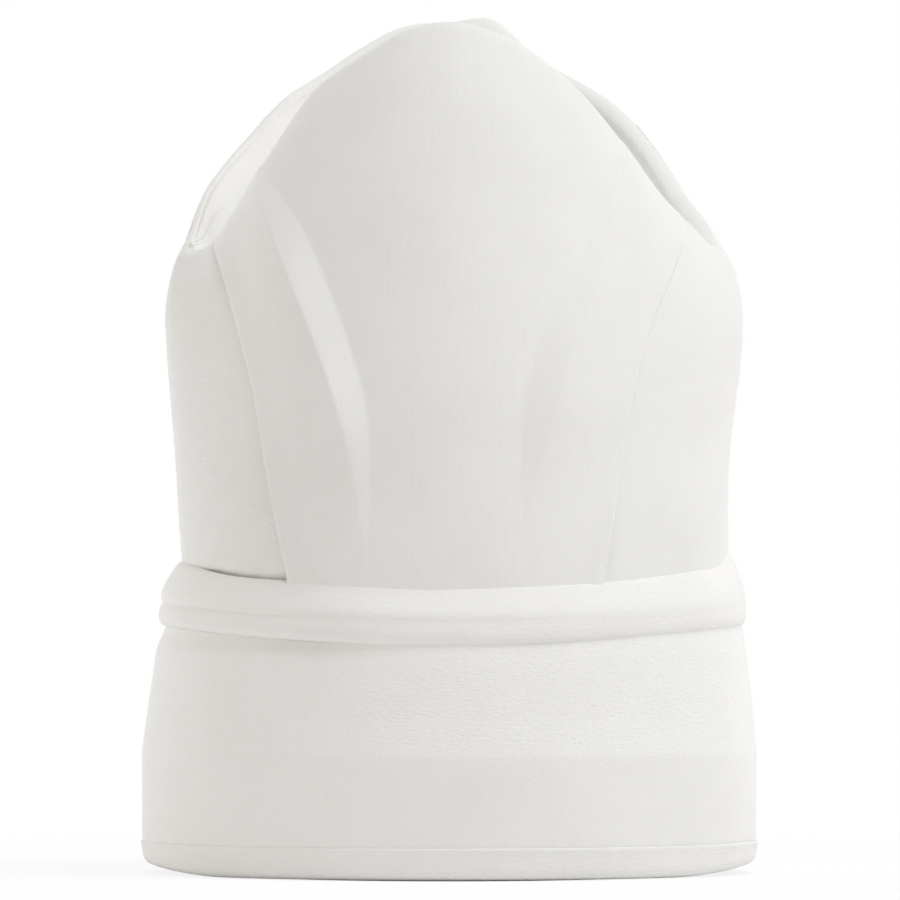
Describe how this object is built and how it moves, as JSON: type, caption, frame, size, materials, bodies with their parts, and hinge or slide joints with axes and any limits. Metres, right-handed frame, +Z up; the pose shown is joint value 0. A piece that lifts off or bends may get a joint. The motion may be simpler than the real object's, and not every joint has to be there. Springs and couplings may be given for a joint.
{
  "type": "chef toque",
  "caption": "Tall soft cook's hat with a pleated crown, a pinched sunken top and a turned-up band that closes at the back with a hook-and-loop flap.",
  "frame": {"origin": "middle of the hem, on the plane that the hat stands on", "axes": "+Z up through the crown, -Y to the front of the hat, +X to the right of a viewer who faces its front"},
  "size_m": [0.2006, 0.2044, 0.2792],
  "materials": {
    "crown_cloth": "matte white cloth with a fine upright rib",
    "band_cloth": "matte white cloth with a fine crepe grain",
    "lining_cloth": "plain woven white lining",
    "sweatband": "soft white towelling",
    "stiffener": "stiff pressed felt",
    "hook_tape": "white hook tape",
    "loop_tape": "white loop tape"
  },
  "bodies": {
    "hat": {"crown_front_panel": "crown_cloth", "crown_back_panel": "crown_cloth", "crown_left_panel": "crown_cloth", "crown_right_panel": "crown_cloth", "crown_top_panel": "crown_cloth", "band_roll": "band_cloth", "outer_band": "band_cloth", "band_stiffener": "stiffener", "band_lining": "lining_cloth", "sweatband": "sweatband", "hem_fold": "band_cloth", "loop_strip": "loop_tape"},
    "flap": {"closure_flap": "band_cloth", "hook_strip": "hook_tape"}
  },
  "joints": [
    {"name": "flap_hinge", "type": "hinge", "parent": "hat", "child": "flap", "pos_m": [-0.03662, 0.0956, 0.02], "axis": [0, 0, 1], "range_deg": [0, 120]}
  ]
}
